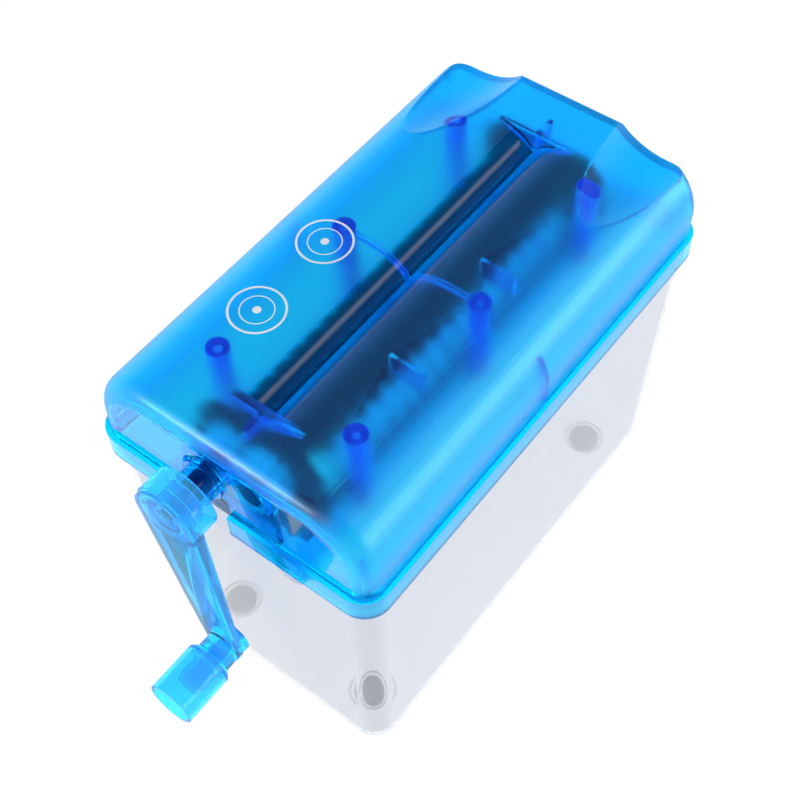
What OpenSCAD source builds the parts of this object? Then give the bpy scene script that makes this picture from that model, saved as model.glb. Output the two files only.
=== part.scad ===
// Hand-crank paper shredder: a lift-off cutting head standing on a clear waste bin.
// X is the width, +Y points to the rear, the crank is at -Y, and Z is up.
// The origin is on the table, under the middle of the shredder with its crank.

/* [Bin] */
// Height of the bin's rim above its underside
bin_h = 112.8; // [90:0.1:150]
// Width of the bin across its underside
bin_base_w = 92.2; // [84:0.1:98]
// Length of the bin along its underside
bin_base_l = 164.8; // [156:0.1:170]
// Thickness of the bin's walls and floor
bin_wall = 2; // [1.6:0.1:2.6]
// Radius of the bin's upright corners and of its rounded bottom edge
bin_corner_r = 8; // [5:0.5:9]
// Gap between the bin's rim and the skirt round it
rim_gap = 0.4; // [0.2:0.1:0.8]

/* [Feet] */
// Distance between the feet across the bin
foot_spacing_x = 59; // [40:1:64]
// Distance between the feet along the bin
foot_spacing_y = 131; // [90:1:136]
// Diameter of a foot pad
foot_d = 11; // [8:0.5:13]
// Thickness of a foot pad
foot_t = 2; // [1.5:0.1:4]
// Gap round a pad inside its locating ring
foot_ring_gap = 1; // [0.3:0.1:1.5]
// Wall of the locating ring
foot_ring_wall = 0.8; // [0.6:0.1:1.5]
// Depth of the locating ring under the floor
foot_ring_h = 0.8; // [0.4:0.1:1.2]
// Chamfer round the bottom of a foot pad
foot_edge = 0.4; // [0.2:0.1:0.6]

/* [Head] */
// Width of the head over its skirt
head_w = 104; // [96:0.5:120]
// Height of the head's top above the bin's rim
head_rise = 30.2; // [29:0.1:40]
// Thickness of the cover's walls
cover_wall = 2.2; // [1.8:0.1:2.6]
// Radius of the long shoulders along the top
shoulder_r = 20; // [14:0.5:22]
// How much each end face leans in from its foot to the shoulders
end_draft = 0.3; // [0.1:0.1:1]
// Radius of the head's upper corners at the front
front_corner_r = 7; // [4:0.5:8]
// Radius of the head's upper corners at the rear
rear_corner_r = 5.5; // [4:0.5:8]
// Radius where the flat top turns into the front face
front_edge_r = 5.5; // [3:0.5:7]
// Radius where the flat top turns into the rear face
rear_edge_r = 1.2; // [0.6:0.1:4]
// How far the skirt stands out from the walls above it
skirt_step = 1.7; // [1.2:0.1:2.5]
// How far the skirt reaches down past the bin's rim
skirt_overlap = 7; // [5:0.5:12]
// Height of the skirt's ledge above the bin's rim
skirt_ledge = 1.6; // [1.2:0.1:3]
// Radius of the skirt's upright corners
skirt_corner_r = 8.8; // [7.5:0.5:12]
// Gap between the rim and the ledge that sits over it
seat_gap = 0.1; // [0.05:0.05:0.3]

/* [Feed trough] */
// Opening between the two lips of the paper slot
slot_w = 1.8; // [1.6:0.1:4]
// Radius of the rounded lips that lead the paper in
lip_r = 18.6; // [15:0.1:20]
// Depth of the slot's edges below the top
lip_drop = 5.6; // [5:0.1:6.4]
// Thickness of the lips
lip_wall = 2.2; // [1.8:0.1:2.6]
// Gap between the lips' undersides and the cutter discs
lip_clear = 1.2; // [0.8:0.1:1.6]
// Free length of slot past each end of the cutters
slot_margin = 3.05; // [2:0.05:5]
// Thickness of the walls that close the trough's ends
end_wall_t = 1.9; // [1.2:0.1:2.5]
// Depth of the trough's end walls below the top
end_wall_depth = 8; // [6:0.5:9]
// Length of the short keel behind each end wall
keel_l = 7.4; // [4:0.1:8]
// Height of the keels under the cover
keel_h = 4.4; // [2:0.1:4.4]
// Thickness of the keels
keel_t = 1.8; // [1.2:0.1:2.4]

/* [Thumb scoops] */
// Distance of each scoop's axis from the middle
scoop_x = 36; // [34:0.5:38]
// Depth of a scoop below the top, at the rear face
scoop_depth = 7; // [5:0.5:8]
// Radius of a scoop across its axis, at the rear face
scoop_r = 25.4; // [20:0.2:27]
// Radius of the long arc that a scoop follows
scoop_sweep_r = 160; // [120:1:180]

/* [Cover fittings] */
// Distance of the screw bosses from the middle, across
boss_x = 25; // [24.5:0.5:30]
// Distance between neighbouring bosses along the head
boss_spacing = 57; // [50:1:62]
// Diameter of a boss at the cover
boss_d = 7.3; // [6.5:0.1:8]
// Diameter of a boss at its free end
boss_tip_d = 6.4; // [5.8:0.1:7]
// Solid depth of a boss above its screw hole
boss_roof = 1.5; // [1:0.5:6]
// Thickness of the stiffening ribs
rib_t = 1.3; // [1:0.1:2]
// Height of the stiffening ribs under the cover's skin
rib_h = 1.6; // [1:0.1:2.4]
// Height of the two gussets under the cover's skin, beside the right-hand roll
gusset_h = 8; // [3:0.5:9]
// Distance of the gussets' outer ends from the middle
gusset_x = 28; // [26:0.5:29]
// Width of the upright ribs on the side walls
wall_rib_w = 1.6; // [1.2:0.1:2.2]
// Diameter of the round upright ribs in the cover's corners
corner_rib_d = 2.2; // [1.8:0.1:2.6]
// Distance of the corner ribs' axes from the walls beside them
corner_rib_inset = 1.9; // [1.7:0.1:2]
// Height of the corner ribs above the bin's rim
corner_rib_h = 17; // [8:0.5:18]
// Play round a pin, bush or screw that is pushed home
fit_gap = 0.02; // [0.01:0.01:0.05]
// Radius of the arch that lets the crank's sleeve out
arch_r = 7.8; // [7.2:0.1:8.6]
// Height of the arch's centre above the crank's axis
arch_rise = 1; // [0:0.1:2]

/* [Cutters] */
// Distance between the two cutter shafts
shaft_spacing = 14; // [13.6:0.1:14.6]
// Height of the top above the cutter shafts
axis_drop = 17; // [16:0.1:18]
// Diameter of a cutter disc
disc_d = 16; // [15.2:0.1:16.4]
// Thickness of a cutter disc
disc_t = 3.4; // [3:0.1:4]
// Side gap between discs that pass each other
cut_clear = 0.15; // [0.1:0.05:0.3]
// Number of discs on the driving shaft
disc_count = 18; // [14:1:22]
// Number of notches in a disc's edge
notch_count = 20; // [12:1:28]
// Depth of a notch
notch_depth = 0.45; // [0.2:0.05:0.6]
// Diameter of the spacers between the discs
spacer_d = 11; // [10:0.1:11.2]
// Gap between a spacer and a stripper finger
finger_gap = 0.4; // [0.3:0.1:0.6]
// End float of the cutter stack between its bushes
end_float = 0.3; // [0.2:0.05:0.5]

/* [Shafts] */
// Width across the flats of the hexagonal shafts
hex_af = 6.4; // [6:0.1:6.4]
// Diameter of the round journals
journal_d = 7.4; // [7.4:0.1:7.6]
// Play of the hexagonal holes round the shaft, per side
hex_play = 0.03; // [0.02:0.01:0.05]
// Radial running clearance of the journals
run_clear = 0.05; // [0.02:0.01:0.08]
// Thickness of a retaining clip
clip_t = 0.8; // [0.6:0.1:1.2]
// Width of the mouth of a retaining clip
clip_mouth = 3.2; // [2.4:0.1:4]
// Gap between a clip and what it holds
clip_gap = 0.1; // [0.05:0.05:0.3]
// Length of shaft beyond its last clip
shaft_tail_l = 1.5; // [1:0.1:3]
// Outer diameter of a retaining clip
clip_d = 11; // [10:0.1:11.4]
// Depth of the clip grooves
groove_depth = 0.7; // [0.5:0.05:0.9]

/* [Bushes and end plates] */
// Outer diameter of the bushes
bush_d = 10.4; // [10:0.1:11]
// Diameter of the bushes' flanges
flange_d = 12.4; // [11.6:0.1:12.8]
// Thickness of the bushes' flanges
flange_t = 0.8; // [0.6:0.1:1]
// Thickness of an end plate
plate_t = 3.2; // [2.4:0.1:4]
// Size of the cut-off corners at the top of an end plate
plate_corner = 6; // [4:0.5:8]
// Length of an end plate's foot
plate_foot_l = 8; // [7:0.5:9]
// Height of an end plate's foot
plate_foot_h = 4; // [3.5:0.1:5]
// Width of an end plate
plate_w = 44; // [40:0.5:46]
// Height of an end plate above the shafts
plate_rise = 9.6; // [8:0.1:9.8]
// Gap between an end plate and the trough's end wall
plate_gap = 1.3; // [0.5:0.1:1.5]
// Diameter of the end plates' foot screws
plate_screw_d = 2.5; // [2:0.1:2.8]
// Distance of the foot screws from the middle
plate_screw_x = 15.5; // [14.5:0.1:17]

/* [Gears] */
// Number of teeth on each gear
gear_teeth = 12; // [11:1:14]
// Width of the gears
gear_w = 7; // [5:0.5:9]
// Pressure angle of the teeth in degrees
pressure_angle = 25; // [22:1:27]
// Height of a tooth outside the pitch circle
addendum = 1; // [0.8:0.05:1.05]
// Gap between a tooth's tip and the other gear's root
tip_clear = 0.4; // [0.3:0.05:0.6]
// Play between the teeth, on the pitch circle
backlash = 0.2; // [0.1:0.05:0.3]
// Gap between a gear and the end plate behind it
gear_gap = 0.5; // [0.4:0.1:1]
// Room between the gears and the cover's end wall
nose_room = 4.6; // [4.4:0.1:7]

/* [Chassis] */
// Thickness of the chassis tray
tray_t = 2.4; // [2:0.1:3]
// Height of the tray's underside above the skirt's lower edge
tray_lift = 1.2; // [0.8:0.1:2]
// Gap between the tray's edge and the bin inside its rim
tray_gap = 1.4; // [0.8:0.1:3]
// Radius of the tray's corners
tray_corner_r = 6; // [4:0.5:8]
// Half width of the opening that the strips drop through
outlet_half_w = 17; // [16:0.5:18]
// Thickness of the upright that carries the crank's sleeve
upright_t = 2.1; // [1.8:0.1:2.4]
// Half width of that upright
upright_half_w = 16.4; // [12:0.2:18]
// Thickness of the stripper fingers
finger_t = 2.9; // [2.2:0.1:3]
// Width of the bar that joins the stripper fingers
comb_bar_w = 3.8; // [3:0.1:4]
// Height of that bar
comb_bar_h = 4; // [3:0.1:5]
// Distance of that bar from the edge of the opening
comb_inset = 0.3; // [0.3:0.1:0.6]
// Diameter of the cover's screws
screw_d = 2.6; // [2:0.1:2.8]
// Diameter of the screws' heads
screw_head_d = 5.2; // [4.6:0.1:5.6]
// Height of the screws' heads
screw_head_h = 1.6; // [1.2:0.1:1.8]
// Length of the arms of the cross recess in a screw
recess_l = 3; // [2.4:0.1:3.4]
// Width of the arms of the cross recess
recess_w = 0.7; // [0.5:0.1:0.9]
// Depth of the cross recess
recess_h = 0.8; // [0.6:0.1:0.9]
// Length of thread in a boss
screw_grip = 10; // [6:0.5:12]

/* [Crank] */
// Distance from the crank's axis to the knob's axis
crank_throw = 65.8; // [55:0.1:75]
// Angle of the arm from straight down, towards +X
crank_angle = 9.3; // [-45:0.1:45]
// Diameter of the sleeve round the shaft at the arch
sleeve_d = 12; // [11.4:0.1:13]
// How far the sleeve's flange stands out round it
sleeve_flange_w = 1.2; // [0.6:0.1:1.2]
// Thickness of the sleeve's flange
sleeve_flange_t = 1; // [0.8:0.1:1.4]
// How far the sleeve stands out of the end wall
sleeve_proud = 5.8; // [2.4:0.1:7]
// Gap between the sleeve and the crank's hub
hub_gap = 0.8; // [0.5:0.1:1.5]
// Diameter of the crank's hub
hub_d = 21.5; // [19:0.1:24]
// Depth of the hub behind the arm's face
hub_h = 10.2; // [9:0.1:14]
// Wall of the hub and of the arm's channel
crank_wall = 1.5; // [1.2:0.1:2]
// Thickness of the arm's face plate
arm_t = 1.6; // [1.4:0.1:2.4]
// Depth of the channel behind the face plate, at the hub
channel_h = 3; // [2.4:0.1:6]
// Depth of the channel behind the face plate, at the knob
channel_tip_h = 1.1; // [0.8:0.1:2.4]
// Diameter of the face plate round the hub
arm_d = 20.4; // [18.5:0.1:22]
// Diameter of the face plate at the knob's end
arm_end_d = 12.2; // [12:0.1:15]
// Diameter of the round boss behind the knob's end of the plate
end_boss_d = 11.8; // [9.4:0.1:11.8]
// Depth of that boss
end_boss_h = 4; // [3:0.1:6]
// Diameter of the boss that holds the shaft in the hub
hub_boss_d = 11.5; // [10.5:0.1:13]
// Diameter of the neck under the knob
neck_d = 11.7; // [9:0.1:12]
// Height of the neck
neck_h = 4.7; // [3:0.1:8]
// Diameter of the knob
knob_d = 15.7; // [14:0.1:20]
// Length of the knob
knob_l = 18.5; // [14:0.1:24]
// Wall of the knob
knob_wall = 1.3; // [1:0.1:1.8]
// Thickness of the knob's closed end
knob_floor = 2; // [1.6:0.1:3]
// Chamfer at the knob's inner end
knob_chamfer = 1.4; // [0.5:0.1:1.6]
// Diameter of the pin that the knob spins on
pin_d = 5; // [4:0.1:6]
// Diameter of the tube round the pin inside the knob
knob_tube_d = 9; // [7.8:0.1:9.4]
// Length of that tube
knob_tube_l = 9; // [6:0.5:10.5]
// Diameter of the pin's head
pin_head_d = 8; // [6.8:0.1:8.6]
// Thickness of the pin's head
pin_head_t = 1.6; // [1.2:0.1:2]
// Gap at each end of the knob's tube
knob_gap = 0.3; // [0.2:0.05:0.5]

/* [Hidden] */
$fn = 96;
hull_fn = 32;
eps = 0.01;
tuck = 0.03;

// Heights above the bin's underside
seat_z = bin_h + seat_gap;
top_z = bin_h + head_rise;
skirt_z = bin_h - skirt_overlap;
axis_z = top_z - axis_drop;
arch_z = axis_z + arch_rise;
tray_z = skirt_z + tray_lift;
tray_top_z = tray_z + tray_t;

// Positions along the head, counted from its middle
disc_pitch = 2 * (disc_t + cut_clear);
stack_l = disc_count * disc_t + (disc_count - 1) * (disc_t + 2 * cut_clear);
slot_end = stack_l / 2 + slot_margin;
plate_y = slot_end + end_wall_t + plate_gap;
collar_end = plate_y - flange_t - end_float;
gear_y = plate_y + plate_t + gear_gap;
gear_end = gear_y + gear_w;
wall_in = gear_end + nose_room;
wall_out = wall_in + cover_wall;
skirt_out = wall_out + skirt_step;
tray_half_l = wall_out - rim_gap - bin_wall - tray_gap;
upright_y = tray_half_l - upright_t;
sleeve_end = wall_out + sleeve_proud;
hub_back = sleeve_end + hub_gap;
arm_face = hub_back + hub_h;
arm_back = arm_t - arm_face;
neck_end = arm_face + neck_h;
knob_back = neck_end + knob_gap;
knob_end = knob_back + knob_l;

// Half widths of the head
skirt_half = head_w / 2;
wall_half = skirt_half - skirt_step;
cavity_half = wall_half - cover_wall;
shaft_x = shaft_spacing / 2;
disc_r = disc_d / 2;
spacer_r = spacer_d / 2;

// Details that follow from the sizes above
rim_half_w = wall_half - rim_gap;
rim_half_l = wall_out - rim_gap;
under_z = top_z - cover_wall;
lip_z = top_z - lip_r;
lip_x = slot_w / 2 + sqrt(lip_r * lip_r - (lip_r - lip_drop) * (lip_r - lip_drop));
corner_r = skirt_corner_r - skirt_step;
tray_half_w = rim_half_w - bin_wall - tray_gap;
shaft_nose = arm_face - arm_t - 0.3;
clip_y = plate_y + plate_t + clip_gap;
shaft_tail = clip_y + clip_t + shaft_tail_l;
gear_clip_y = -gear_end - clip_gap - clip_t;
pitch_r = shaft_spacing / 2;
base_r = pitch_r * cos(pressure_angle);
tip_r = pitch_r + addendum;
root_r = pitch_r - addendum - tip_clear;
mesh_turn = gear_teeth % 2 == 0 ? 0 : 180 / gear_teeth;

// The crank reaches further forward than the skirt, so the head sits behind the origin
rear_shift = (knob_end - skirt_out) / 2;

// Colours
clear_blue = [0.10, 0.62, 0.96, 0.6];
clear_white = [0.88, 0.90, 0.92, 0.4];
black = [0.05, 0.05, 0.06];
nylon = [0.90, 0.95, 0.88];

// ---------- helpers ----------

// From the head's own middle to the part's frame
module placed() {
    translate([0, rear_shift, foot_t]) children();
}

// A bar along Y from y0 to y1 with its outline drawn in X and Z
module along_y(y0, y1) {
    translate([0, y1, 0]) rotate([90, 0, 0]) linear_extrude(y1 - y0) children();
}

module rounded_rect(half_w, half_l, r) {
    square([2 * (half_w - r), 2 * half_l], center = true);
    square([2 * half_w, 2 * (half_l - r)], center = true);
    for (sx = [-1, 1], sy = [-1, 1])
        translate([sx * (half_w - r), sy * (half_l - r)]) circle(r);
}

// The cover's upper body: two long rounded shoulders whose ends are rounded too
module head_block(grow, base) {
    half_w = wall_half + grow;
    half_l = wall_out + grow;
    top = top_z + grow;
    shoulder = shoulder_r + grow;
    corner = corner_r + grow;
    edge_half = half_w - shoulder;
    rear_r = max(rear_edge_r + grow, 0.2);
    hull() {
        for (sx = [-1, 1])
            translate([sx * edge_half, 0, top - shoulder]) rotate([90, 0, 0])
                rotate_extrude($fn = 72) puck_section(shoulder, half_l - end_draft, grow);
        for (sx = [-1, 1], sy = [-1, 1])
            translate([sx * (half_w - corner), sy * (half_l - corner), base])
                cylinder(r = corner, h = 1, $fn = hull_fn);
        translate([-edge_half, 0, 0]) rotate([90, 0, 90]) linear_extrude(2 * edge_half) {
            translate([front_edge_r + grow - half_l + end_draft, top - front_edge_r - grow])
                circle(front_edge_r + grow, $fn = hull_fn);
            translate([half_l - end_draft - rear_r, top - rear_r])
                circle(rear_r, $fn = hull_fn);
        }
    }
}

module puck_section(r, half_l, grow) {
    front = front_corner_r + grow;
    rear = rear_corner_r + grow;
    translate([0, rear - half_l]) square([r, 2 * half_l - front - rear]);
    translate([0, -half_l]) square([r - max(front, rear), 2 * half_l]);
    translate([r - rear, rear - half_l]) circle(rear, $fn = hull_fn);
    translate([r - front, half_l - front]) circle(front, $fn = hull_fn);
}

// Spindle that scoops out a thumb rest, growing towards the rear
module scoop(grow) {
    arc_r = scoop_sweep_r + grow;
    inset = scoop_sweep_r - scoop_r;
    for (s = [-1, 1])
        translate([s * scoop_x, wall_out + 2, top_z - scoop_depth + scoop_r]) rotate([90, 0, 0])
            rotate_extrude() intersection() {
                translate([-inset, 0]) circle(arc_r, $fn = 180);
                translate([0, -scoop_r]) square([scoop_r + grow + 1, scoop_r + arc_r]);
            }
}

module hex_prism(af, y0, y1) {
    along_y(y0, y1) rotate(30) circle(af / sqrt(3), $fn = 6);
}

module hex_hole() {
    rotate(30) circle((hex_af + 2 * hex_play) / sqrt(3), $fn = 6);
}

module at_shaft(side) {
    translate([side * shaft_x, 0, axis_z]) children();
}

// ---------- bin ----------

// The bin's tapered body with its rounded bottom edge, drawn in by the given inset
module bin_body(inset) {
    r = bin_corner_r - inset;
    base_w = bin_base_w / 2 - bin_corner_r;
    base_l = bin_base_l / 2 - bin_corner_r;
    hull() {
        translate([0, 0, inset]) linear_extrude(eps) square([2 * base_w, 2 * base_l], center = true);
        for (sx = [-1, 1], sy = [-1, 1])
            translate([sx * base_w, sy * base_l, bin_corner_r]) sphere(r, $fn = hull_fn);
        translate([0, 0, bin_h - eps]) linear_extrude(eps)
            rounded_rect(rim_half_w - inset, rim_half_l - inset, r, $fn = hull_fn);
    }
}

module at_feet() {
    for (sx = [-1, 1], sy = [-1, 1])
        translate([sx * foot_spacing_x / 2, sy * foot_spacing_y / 2, 0]) children();
}

module bin() {
    ring_r = foot_d / 2 + foot_ring_gap;
    color(clear_white) placed() {
        difference() {
            bin_body(0);
            bin_body(bin_wall);
            translate([0, 0, bin_h - 1]) linear_extrude(2) rounded_rect(
                rim_half_w - bin_wall, rim_half_l - bin_wall, bin_corner_r - bin_wall, $fn = hull_fn);
        }
        at_feet() translate([0, 0, -foot_ring_h]) linear_extrude(foot_ring_h + bin_wall / 2)
            difference() {
                circle(ring_r + foot_ring_wall);
                circle(ring_r);
            }
    }
}

module foot_pads() {
    color("dimgray") placed() at_feet() {
        translate([0, 0, -foot_t + foot_edge]) cylinder(d = foot_d, h = foot_t - foot_edge);
        translate([0, 0, -foot_t]) cylinder(d1 = foot_d - 2 * foot_edge, d2 = foot_d, h = foot_edge);
    }
}

// ---------- head: cover ----------

module skirt() {
    difference() {
        translate([0, 0, skirt_z]) linear_extrude(seat_z + skirt_ledge - skirt_z)
            rounded_rect(skirt_half, skirt_out, skirt_corner_r);
        translate([0, 0, skirt_z - 1]) linear_extrude(seat_z - skirt_z + 1)
            rounded_rect(wall_half, wall_out, corner_r);
        translate([0, 0, seat_z - 1]) linear_extrude(skirt_ledge + 2)
            rounded_rect(cavity_half, wall_in, corner_r - cover_wall);
    }
}

// The cover's shell with its two thumb scoops
module cover_shell() {
    difference() {
        head_block(0, seat_z);
        scoop(0);
        difference() {
            head_block(-cover_wall, seat_z - 2);
            scoop(cover_wall);
        }
        translate([-head_w, -2 * wall_out, seat_z - 2 * shoulder_r])
            cube([2 * head_w, 4 * wall_out, 2 * shoulder_r]);
    }
}

// Half of the lips' outline, in X and Z
module lip_outline() {
    intersection() {
        translate([lip_x, lip_z]) difference() {
            circle(lip_r);
            circle(lip_r - lip_wall);
        }
        translate([slot_w / 2, lip_z]) square([lip_x - slot_w / 2, lip_r]);
    }
}

module trough_outline() {
    difference() {
        translate([-lip_x, lip_z]) square([2 * lip_x, lip_r + 1]);
        for (s = [-1, 1]) translate([s * lip_x, lip_z]) circle(lip_r);
    }
    translate([-slot_w / 2, axis_z]) square([slot_w, axis_drop + 1]);
}

module trough_ends() {
    foot_half = slot_w / 2 + 1;
    for (s = [0, 1]) mirror([0, s, 0]) {
        along_y(slot_end, slot_end + end_wall_t)
            polygon([[-lip_x, under_z], [-foot_half, top_z - end_wall_depth],
                [foot_half, top_z - end_wall_depth], [lip_x, under_z], [lip_x, under_z + eps],
                [-lip_x, under_z + eps]]);
        translate([0, 0, under_z - keel_h]) linear_extrude(keel_h + cover_wall / 2) {
            translate([-keel_t / 2, slot_end + end_wall_t - eps])
                square([keel_t, keel_l - keel_t / 2]);
            translate([0, slot_end + end_wall_t + keel_l - keel_t / 2 - eps]) circle(keel_t / 2, $fn = 24);
        }
    }
}

// Half of the middle rib's outline, which follows the underside of the lip out to the boss
module mid_rib_outline() {
    inner_r = lip_r - lip_wall;
    intersection() {
        translate([lip_x, lip_z]) difference() {
            circle(inner_r + lip_wall / 2);
            circle(inner_r - rib_h);
        }
        translate([slot_w / 2, lip_z]) square([lip_x - slot_w / 2, lip_r]);
    }
    translate([lip_x - eps, under_z - rib_h]) square([boss_x - lip_x, rib_h + cover_wall / 2]);
}

// A point on an arc about the middle of the right shoulder
function shoulder_point(r, a) = [wall_half - shoulder_r + r * cos(a), top_z - shoulder_r + r * sin(a)];

// Outline of an upright rib that follows the wall and the beginning of the shoulder
module wall_rib_outline() {
    outer_r = shoulder_r - cover_wall / 2;
    inner_r = shoulder_r - cover_wall - wall_rib_w;
    polygon([
        [cavity_half - wall_rib_w, seat_z + 0.4],
        [cavity_half + cover_wall / 2, seat_z + 0.4],
        for (a = [0:7:28]) shoulder_point(outer_r, a),
        for (a = [28:-7:0]) shoulder_point(inner_r, a)
    ]);
}

// Ribs that brace the cover: across it at the middle, beside the right lip, and up its walls
module cover_ribs() {
    for (s = [0, 1]) mirror([s, 0, 0]) {
        along_y(-rib_t / 2, rib_t / 2) {
            mid_rib_outline();
            wall_rib_outline();
        }
        for (sy = [-1, 1])
            translate([cavity_half - corner_rib_inset, sy * (wall_in - corner_rib_inset), seat_z + 0.4])
                cylinder(d = corner_rib_d, h = corner_rib_h);
    }
    for (y = [-0.53 * boss_spacing, 0.24 * boss_spacing])
        translate([lip_x + 1.6, y - rib_t / 2, under_z - gusset_h])
            cube([gusset_x - lip_x - 1.6, rib_t, gusset_h + cover_wall / 2]);
}

module at_bosses() {
    for (sx = [-1, 1], i = [-1, 0, 1])
        translate([sx * boss_x, i * boss_spacing, 0]) children();
}

module top_cover() {
    color(clear_blue) placed() difference() {
        union() {
            cover_shell();
            skirt();
            difference() {
                union() {
                    along_y(-slot_end - eps, slot_end + eps) {
                        lip_outline();
                        mirror([1, 0]) lip_outline();
                    }
                    trough_ends();
                    cover_ribs();
                    at_bosses() translate([0, 0, tray_top_z])
                        cylinder(d1 = boss_tip_d, d2 = boss_d, h = under_z + eps - tray_top_z);
                }
                scoop(cover_wall / 2);
            }
        }
        along_y(-slot_end, slot_end) trough_outline();
        for (side = [-1, 1]) at_shaft(side)
            along_y(-slot_end, slot_end) circle(disc_r + lip_clear);
        at_bosses() translate([0, 0, tray_top_z - 1])
            cylinder(r = screw_d / 2 + fit_gap, h = under_z - boss_roof - tray_top_z + 1);
        along_y(-skirt_out - 1, -wall_in + 1) {
            translate([-shaft_x, arch_z]) circle(arch_r);
            translate([-shaft_x - arch_r, skirt_z - 1]) square([2 * arch_r, arch_z - skirt_z + 1]);
        }
    }
}

// ---------- head: chassis and what it carries ----------

module at_plate_screws() {
    for (sx = [-1, 1], sy = [-1, 1])
        translate([sx * plate_screw_x, sy * (plate_y + plate_foot_l / 2 + plate_t / 2), 0]) children();
}

module cutter_chassis() {
    color(clear_white) placed() difference() {
        union() {
            translate([0, 0, tray_z]) linear_extrude(tray_t)
                rounded_rect(tray_half_w, tray_half_l, tray_corner_r);
            along_y(-tray_half_l, -upright_y)
                translate([-upright_half_w, tray_top_z - eps])
                    square([2 * upright_half_w, axis_z + disc_r - tray_top_z]);
        }
        translate([-outlet_half_w, -slot_end, tray_z - 1])
            cube([2 * outlet_half_w, 2 * slot_end, tray_t + 2]);
        at_bosses() translate([0, 0, tray_z - 1]) cylinder(r = screw_d / 2 + 0.2, h = tray_t + 2);
        at_plate_screws() translate([0, 0, tray_z - 1])
            cylinder(r = plate_screw_d / 2 + 0.2, h = tray_t + 2);
        at_shaft(-1) along_y(-tray_half_l - 1, -upright_y + 1) circle(sleeve_d / 2 + fit_gap);
        at_shaft(1) along_y(-tray_half_l - 1, -upright_y + 1) circle(clip_d / 2 + 0.8);
    }
}

// A pan-head screw pointing up, its head under the surface at z = 0
module screw(d, grip) {
    translate([0, 0, -screw_head_h]) difference() {
        cylinder(d = screw_head_d, h = screw_head_h);
        for (a = [0, 90]) rotate(a)
            translate([-recess_l / 2, -recess_w / 2, -1]) cube([recess_l, recess_w, 1 + recess_h]);
    }
    translate([0, 0, -eps]) cylinder(d = d, h = grip - d / 2);
    translate([0, 0, grip - d / 2 - eps]) cylinder(d1 = d, d2 = 0.6, h = d / 2);
}

module cover_screws() {
    color("silver") placed() at_bosses() translate([0, 0, tray_z]) screw(screw_d, tray_t + screw_grip);
}

module plate_screws() {
    color("silver") placed() at_plate_screws() translate([0, 0, tray_z])
        screw(plate_screw_d, tray_t + plate_foot_h - 0.6);
}

module end_plate() {
    top = axis_z + plate_rise;
    half = plate_w / 2;
    difference() {
        union() {
            along_y(plate_y, plate_y + plate_t)
                polygon([[-half, tray_top_z], [half, tray_top_z], [half, top - plate_corner],
                    [half - plate_corner, top], [plate_corner - half, top], [-half, top - plate_corner]]);
            translate([-half, plate_y, tray_top_z]) cube([plate_w, plate_foot_l, plate_foot_h]);
        }
        for (side = [-1, 1]) at_shaft(side)
            along_y(plate_y - 1, plate_y + plate_t + 1) circle(bush_d / 2 + fit_gap);
        at_plate_screws() translate([0, 0, tray_top_z - 1])
            cylinder(r = plate_screw_d / 2 + fit_gap, h = plate_foot_h + 0.4);
    }
}

module bush_pair() {
    for (side = [-1, 1]) at_shaft(side) {
        along_y(plate_y, plate_y + plate_t) ring(bush_d / 2);
        along_y(plate_y - flange_t, plate_y) ring(flange_d / 2);
    }
}

// A ring round a journal
module ring(r) {
    difference() {
        circle(r);
        circle(journal_d / 2 + run_clear);
    }
}

module front_end_plate() color(black) placed() mirror([0, 1, 0]) end_plate();

module rear_end_plate() color(black) placed() end_plate();

module front_bushes() color("burlywood") placed() mirror([0, 1, 0]) bush_pair();

module rear_bushes() color("burlywood") placed() bush_pair();

module shaft_sleeve() {
    color(clear_blue) placed() at_shaft(-1) {
        along_y(-sleeve_end, -upright_y) ring(sleeve_d / 2);
        along_y(-wall_out - sleeve_flange_t, -wall_out) ring(sleeve_d / 2 + sleeve_flange_w);
    }
}

// Outline of a stripper finger on the right, hooked under the spacer
module finger_outline() {
    bar_x = outlet_half_w + comb_inset + comb_bar_w;
    low = tray_top_z + 1;
    difference() {
        polygon([[bar_x, low], [bar_x, low + comb_bar_h + 1], [shaft_x + disc_r + 0.5, axis_z - 2],
            [shaft_x, axis_z - 2], [2, axis_z - disc_r], [bar_x - disc_r - comb_bar_w, low]]);
        translate([shaft_x, axis_z]) circle(spacer_r + finger_gap);
        translate([-shaft_x, axis_z]) circle(disc_r + finger_gap);
    }
}

module stripper_comb(fingers) {
    translate([outlet_half_w + comb_inset, -plate_y, tray_top_z])
        cube([comb_bar_w, 2 * plate_y, comb_bar_h]);
    for (i = [0:fingers - 1]) {
        y = (i - (fingers - 1) / 2) * disc_pitch;
        along_y(y - finger_t / 2, y + finger_t / 2) finger_outline();
    }
}

module left_stripper_comb() color(clear_white) placed() mirror([1, 0, 0]) stripper_comb(disc_count - 1);

module right_stripper_comb() color(clear_white) placed() stripper_comb(disc_count - 2);

// ---------- the two cutter rolls ----------

// A row of equal slices along Y, centred on the head's middle
module slices(count, thickness) {
    for (i = [0:count - 1]) {
        y = (i - (count - 1) / 2) * disc_pitch;
        along_y(y - thickness / 2, y + thickness / 2) children();
    }
}

module disc_outline() {
    difference() {
        circle(disc_r);
        hex_hole();
        for (i = [0:notch_count - 1]) rotate(i * 360 / notch_count)
            polygon([[disc_r - notch_depth, 0], [disc_r + 0.2, -0.2],
                [disc_r + 0.2, 1.2 * notch_depth + 0.4]]);
    }
}

module spacer_outline() {
    difference() {
        circle(spacer_r);
        hex_hole();
    }
}

module spacer_row(count) {
    inner = (count + 1) * disc_t + count * (disc_t + 2 * cut_clear);
    slices(count, disc_t + 2 * cut_clear) spacer_outline();
    for (s = [0, 1]) mirror([0, s, 0]) along_y(inner / 2, collar_end) spacer_outline();
}

function polar(r, a) = [r * cos(a), r * sin(a)];

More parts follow.
